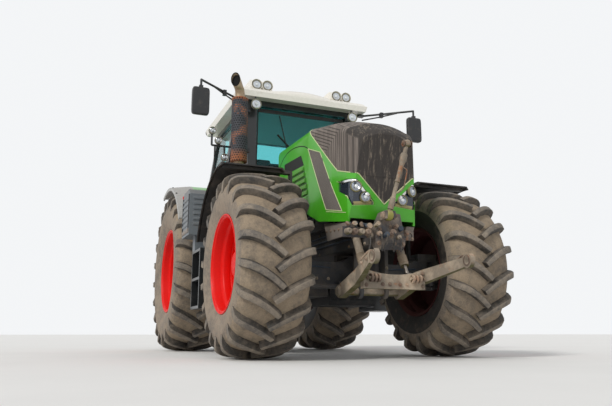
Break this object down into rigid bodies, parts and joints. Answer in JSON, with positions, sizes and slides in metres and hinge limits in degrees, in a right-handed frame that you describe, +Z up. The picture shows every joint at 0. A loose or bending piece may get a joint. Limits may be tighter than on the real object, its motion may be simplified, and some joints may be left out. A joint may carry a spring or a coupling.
{
  "type": "farm tractor",
  "caption": "Large four-wheel-drive farm tractor with a green hood, white cab roof, red rims, front lift arms and rear linkage.",
  "frame": {"origin": "on the ground, at the middle of the footprint in length and width", "axes": "+X to the tractor's left side, +Y from the front end to the rear end, +Z up"},
  "size_m": [2.94, 5.623, 3.3],
  "materials": {
    "tyre": "matt, dusty",
    "rim_red": "gloss red, dusty",
    "cast_grey": "matt grey paint",
    "dusty_steel": "dusty brown with rust",
    "bright_rod": "polished",
    "hood_green": "gloss green",
    "grille_mesh": "ribbed, dusty",
    "lamp": "clear over bright reflectors",
    "grey_plastic": "grained",
    "pale_plastic": "light grey",
    "black_plastic": "satin",
    "cab_black": "satin black",
    "roof_white": "satin cream white",
    "tinted_glass": "teal tint",
    "seat_fabric": "woven",
    "shield_black": "matt with rust",
    "tan_metal": "heat tinted"
  },
  "bodies": {
    "chassis": {"front_axle": "cast_grey", "steering_cylinder": "cast_grey", "front_frame": "cast_grey", "engine": "cast_grey", "cooler": "black_plastic", "rear_axle": "cast_grey", "drawbar": "dusty_steel", "cowl": "black_plastic", "nose_skirt": "grey_plastic", "rear_fenders": "hood_green", "fender_wings": "pale_plastic", "cab_frame": "cab_black", "cab_glass": "tinted_glass", "cab_roof": "roof_white", "seat_base": "black_plastic", "seat": "seat_fabric", "steering_column": "black_plastic", "tanks": "black_plastic", "platform": "cab_black", "steps": "cab_black", "battery_box": "grey_plastic", "exhaust_pipe": "tan_metal", "heat_shield": "shield_black", "mirror_arms": "cab_black", "mirror_heads": "black_plastic", "work_lamps": "lamp", "side_lamps": "lamp", "front_hitch_bracket": "dusty_steel", "front_top_link": "dusty_steel"},
    "left_knuckle": {"knuckle_left": "cast_grey", "front_fender_left": "black_plastic"},
    "right_knuckle": {"knuckle_right": "cast_grey", "front_fender_right": "black_plastic"},
    "steering_bar": {"steering_rod": "bright_rod"},
    "front_wheel_left": {"tyre_front_left": "tyre", "rim_front_left": "rim_red"},
    "front_wheel_right": {"tyre_front_right": "tyre", "rim_front_right": "rim_red"},
    "rear_wheel_left": {"tyre_rear_left": "tyre", "rim_rear_left": "rim_red"},
    "rear_wheel_right": {"tyre_rear_right": "tyre", "rim_rear_right": "rim_red"},
    "hood": {"hood_shell": "hood_green", "hood_mesh": "grille_mesh", "side_grilles": "grille_mesh", "headlamps": "lamp"},
    "door": {"door_frame": "cab_black", "door_glass": "tinted_glass"},
    "front_lift": {"front_lift_arms": "dusty_steel"},
    "front_ram_tubes": {"ram_tubes": "dusty_steel"},
    "front_ram_rods": {"ram_rods": "bright_rod"},
    "rear_links": {"rear_lower_links": "cast_grey"},
    "rear_rockers": {"rear_lift_arms": "cast_grey"},
    "rear_rods": {"rear_lift_rods": "cast_grey"}
  },
  "joints": [
    {"name": "steer_left", "type": "hinge", "parent": "chassis", "child": "left_knuckle", "pos_m": [0.8, -1.43, 0.852], "axis": [0, 0, 1], "range_deg": [-25, 25]},
    {"name": "steer_right", "type": "hinge", "parent": "chassis", "child": "right_knuckle", "pos_m": [-0.8, -1.43, 0.852], "axis": [0, 0, 1], "range_deg": [-25, 25]},
    {"name": "steering_slide", "type": "slide", "parent": "chassis", "child": "steering_bar", "axis": [1, 0, 0], "range_m": [-0.0765, 0.0765]},
    {"name": "front_spin_left", "type": "hinge", "parent": "left_knuckle", "child": "front_wheel_left", "pos_m": [1.0165, -1.43, 0.852], "axis": [1, 0, 0], "continuous": true},
    {"name": "front_spin_right", "type": "hinge", "parent": "right_knuckle", "child": "front_wheel_right", "pos_m": [-1.0165, -1.43, 0.852], "axis": [1, 0, 0], "continuous": true},
    {"name": "rear_spin_left", "type": "hinge", "parent": "chassis", "child": "rear_wheel_left", "pos_m": [1.0065, 1.62, 1.065], "axis": [1, 0, 0], "continuous": true},
    {"name": "rear_spin_right", "type": "hinge", "parent": "chassis", "child": "rear_wheel_right", "pos_m": [-1.0065, 1.62, 1.065], "axis": [1, 0, 0], "continuous": true},
    {"name": "hood_hinge", "type": "hinge", "parent": "chassis", "child": "hood", "pos_m": [0, -0.45, 2.12], "axis": [-1, 0, 0], "range_deg": [0, 50]},
    {"name": "door_hinge", "type": "hinge", "parent": "chassis", "child": "door", "pos_m": [0.846, 0.523, 2.2], "axis": [0, 0, 1], "range_deg": [0, 75]},
    {"name": "front_lift_hinge", "type": "hinge", "parent": "chassis", "child": "front_lift", "pos_m": [0, -1.85, 0.6], "axis": [-1, 0, 0], "range_deg": [-38, 12]},
    {"name": "ram_swing", "type": "hinge", "parent": "chassis", "child": "front_ram_tubes", "pos_m": [0, -1.93, 1.15], "axis": [-1, 0, 0], "range_deg": [-6, 2]},
    {"name": "ram_slide", "type": "slide", "parent": "front_ram_tubes", "child": "front_ram_rods", "axis": [0, -0.4555, -0.8902], "range_m": [-0.065, 0.202]},
    {"name": "rear_lift_hinge", "type": "hinge", "parent": "chassis", "child": "rear_links", "pos_m": [0, 1.88, 0.56], "axis": [1, 0, 0], "range_deg": [-20, 25]},
    {"name": "rocker_hinge", "type": "hinge", "parent": "chassis", "child": "rear_rockers", "pos_m": [0, 1.88, 1.29], "axis": [1, 0, 0], "range_deg": [-20, 25]},
    {"name": "lift_rod_hinge", "type": "hinge", "parent": "rear_rockers", "child": "rear_rods", "pos_m": [0, 2.22, 1.29], "axis": [1, 0, 0], "range_deg": [-25, 20]}
  ],
  "couplings": [
    {"joint": "steer_right", "follows": "steer_left", "ratio": 1},
    {"joint": "steering_slide", "follows": "steer_left", "m_per_rad": 0.1743},
    {"joint": "ram_swing", "follows": "front_lift_hinge", "ratio": 0.15},
    {"joint": "ram_slide", "follows": "front_lift_hinge", "m_per_rad": -0.302},
    {"joint": "rocker_hinge", "follows": "rear_lift_hinge", "ratio": 1},
    {"joint": "lift_rod_hinge", "follows": "rear_lift_hinge", "ratio": -1}
  ]
}
